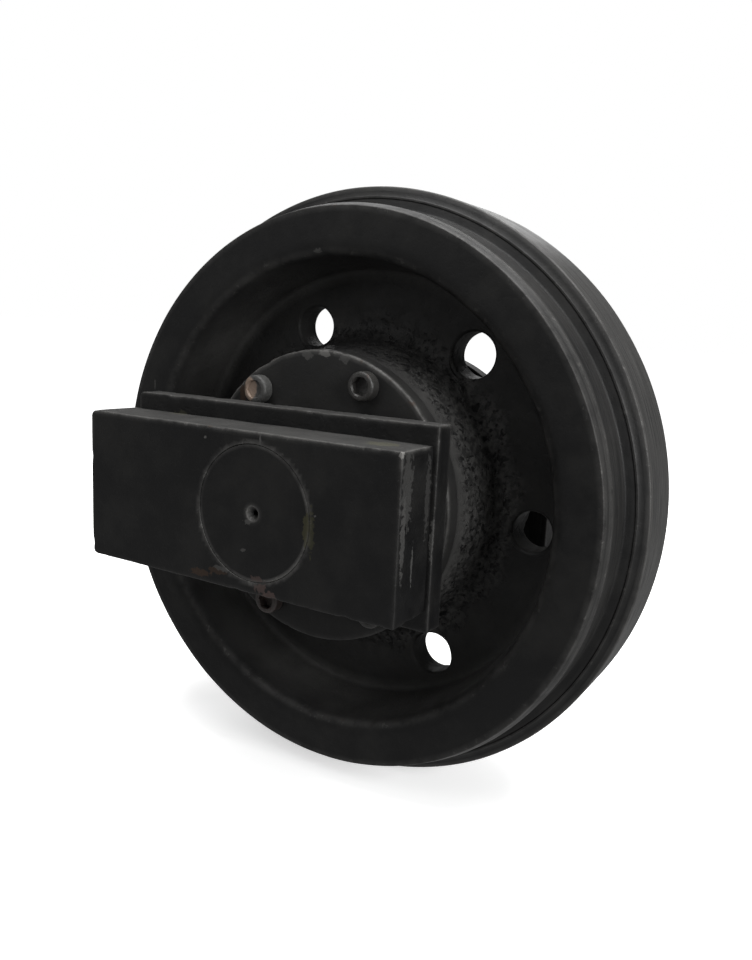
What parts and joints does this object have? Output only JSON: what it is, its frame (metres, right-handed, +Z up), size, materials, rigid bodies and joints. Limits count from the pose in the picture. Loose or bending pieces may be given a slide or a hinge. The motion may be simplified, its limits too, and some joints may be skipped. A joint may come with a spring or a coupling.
{
  "type": "track roller",
  "caption": "Crawler front idler wheel with a central guide flange, turning on a sealed shaft held at both ends by sliding support blocks.",
  "frame": {"origin": "centre of the wheel, on its turning axis and in its centre plane", "axes": "+Y along the turning axis to the rear side; +X to the blocks' nose, -X to their yoke end; +Z up. The side seen in the picture is -Y"},
  "size_m": [0.538, 0.362, 0.538],
  "materials": {
    "painted_cast_steel": "black paint over rough cast steel, chipped and lightly rusted at its edges",
    "painted_shaft_steel": "thin black paint over a machined shaft end",
    "rusty_steel": "bare bolt steel with brown rust",
    "bronze": "bored bushing bronze",
    "seal_iron": "lapped seal faces",
    "rubber": "matt black"
  },
  "bodies": {
    "support": {"shaft": "painted_shaft_steel", "oil_plug": "painted_shaft_steel", "front_support_block": "painted_cast_steel", "front_shaft_o_ring": "rubber", "front_fixed_seal_ring": "seal_iron", "front_fixed_rubber_ring": "rubber", "front_lock_pin": "rusty_steel", "rear_support_block": "painted_cast_steel", "rear_shaft_o_ring": "rubber", "rear_fixed_seal_ring": "seal_iron", "rear_fixed_rubber_ring": "rubber", "rear_lock_pin": "rusty_steel"},
    "wheel": {"idler_wheel": "painted_cast_steel", "front_hub_cover": "painted_cast_steel", "front_bushing": "bronze", "front_cover_o_ring": "rubber", "front_rotating_seal_ring": "seal_iron", "front_rotating_rubber_ring": "rubber", "front_cover_bolt_1": "rusty_steel", "front_cover_bolt_2": "rusty_steel", "front_cover_bolt_3": "rusty_steel", "front_cover_bolt_4": "rusty_steel", "front_cover_bolt_5": "rusty_steel", "front_cover_bolt_6": "rusty_steel", "rear_hub_cover": "painted_cast_steel", "rear_bushing": "bronze", "rear_cover_o_ring": "rubber", "rear_rotating_seal_ring": "seal_iron", "rear_rotating_rubber_ring": "rubber", "rear_cover_bolt_1": "rusty_steel", "rear_cover_bolt_2": "rusty_steel", "rear_cover_bolt_3": "rusty_steel", "rear_cover_bolt_4": "rusty_steel", "rear_cover_bolt_5": "rusty_steel", "rear_cover_bolt_6": "rusty_steel"}
  },
  "joints": [
    {"name": "wheel_spin", "type": "hinge", "parent": "support", "child": "wheel", "pos_m": [0, 0, 0], "axis": [0, 1, 0], "continuous": true}
  ]
}
